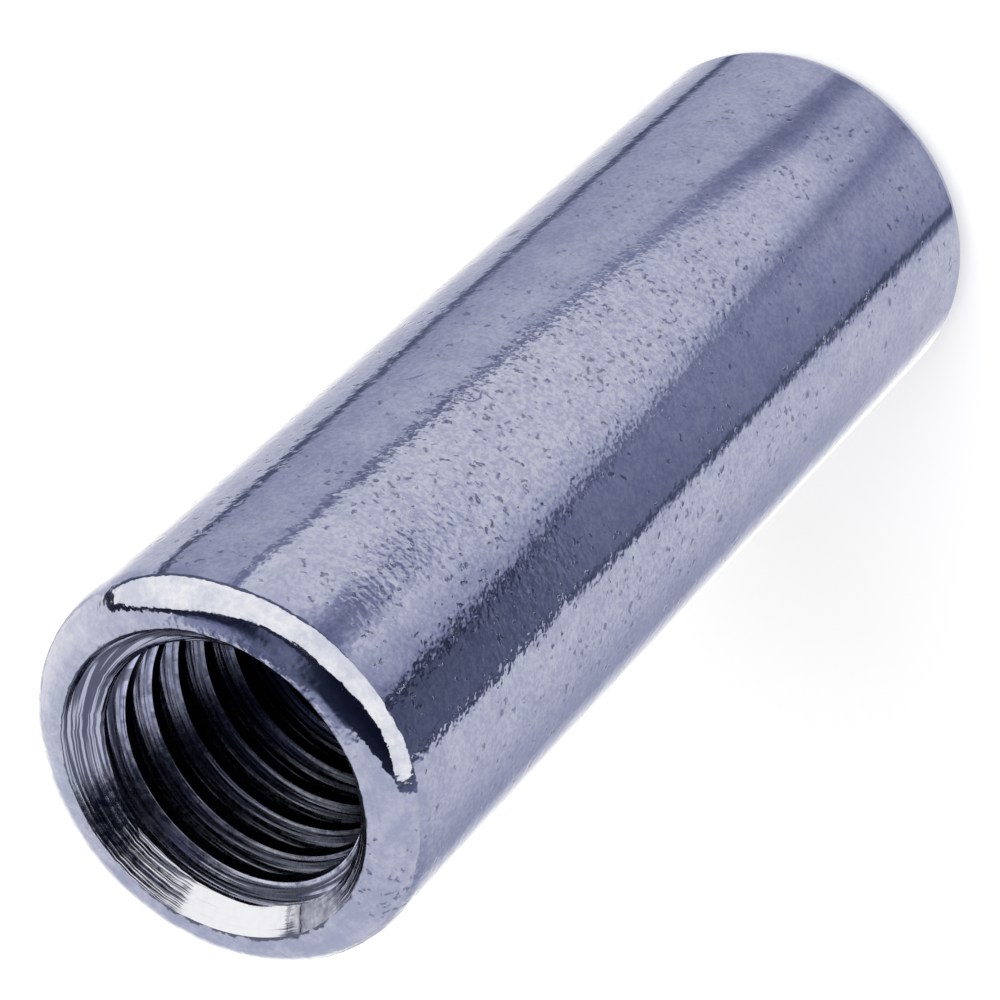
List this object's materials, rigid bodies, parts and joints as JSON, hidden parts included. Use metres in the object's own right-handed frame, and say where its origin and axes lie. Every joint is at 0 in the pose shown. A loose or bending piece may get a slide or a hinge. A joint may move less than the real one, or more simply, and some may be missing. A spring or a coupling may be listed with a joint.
{
  "type": "coupling nut",
  "caption": "Round threaded sleeve that joins two threaded rods end to end, tapped right through and countersunk at both ends.",
  "frame": {"origin": "centre of the lower end face, on which the nut stands", "axes": "+Z along the bore towards the upper end face; X and Y across the bore, with no preferred direction on a round sleeve"},
  "size_m": [0.013, 0.013, 0.04],
  "materials": {
    "zinc_plated_steel": "bright zinc plate, blue passivated, tumbled"
  },
  "bodies": {
    "root": {"coupling_nut": "zinc_plated_steel"}
  },
  "joints": []
}
